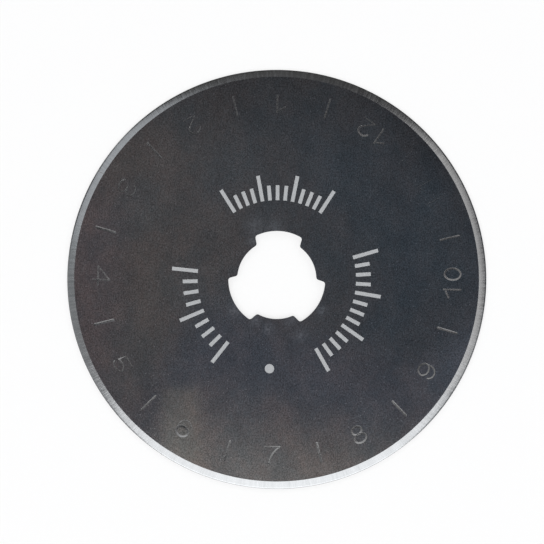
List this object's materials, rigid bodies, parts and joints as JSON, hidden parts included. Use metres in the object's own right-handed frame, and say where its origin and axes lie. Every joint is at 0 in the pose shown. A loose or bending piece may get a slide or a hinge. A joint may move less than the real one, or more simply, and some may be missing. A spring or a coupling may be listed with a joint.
{
  "type": "rotary cutter blade",
  "caption": "Round flat steel blade for a rotary cutter, with a notched hub hole, a rim ground sharp from both faces and a stamped number dial near the edge.",
  "frame": {"origin": "on the hub axis, at the blade's underside", "axes": "+Z along the hub axis, out of the numbered face; +Y towards the middle of one hub notch"},
  "size_m": [0.045, 0.045, 0.0003],
  "materials": {
    "blade_steel": "dark lapped steel with a bright ground rim"
  },
  "bodies": {
    "root": {"blade": "blade_steel"}
  },
  "joints": []
}
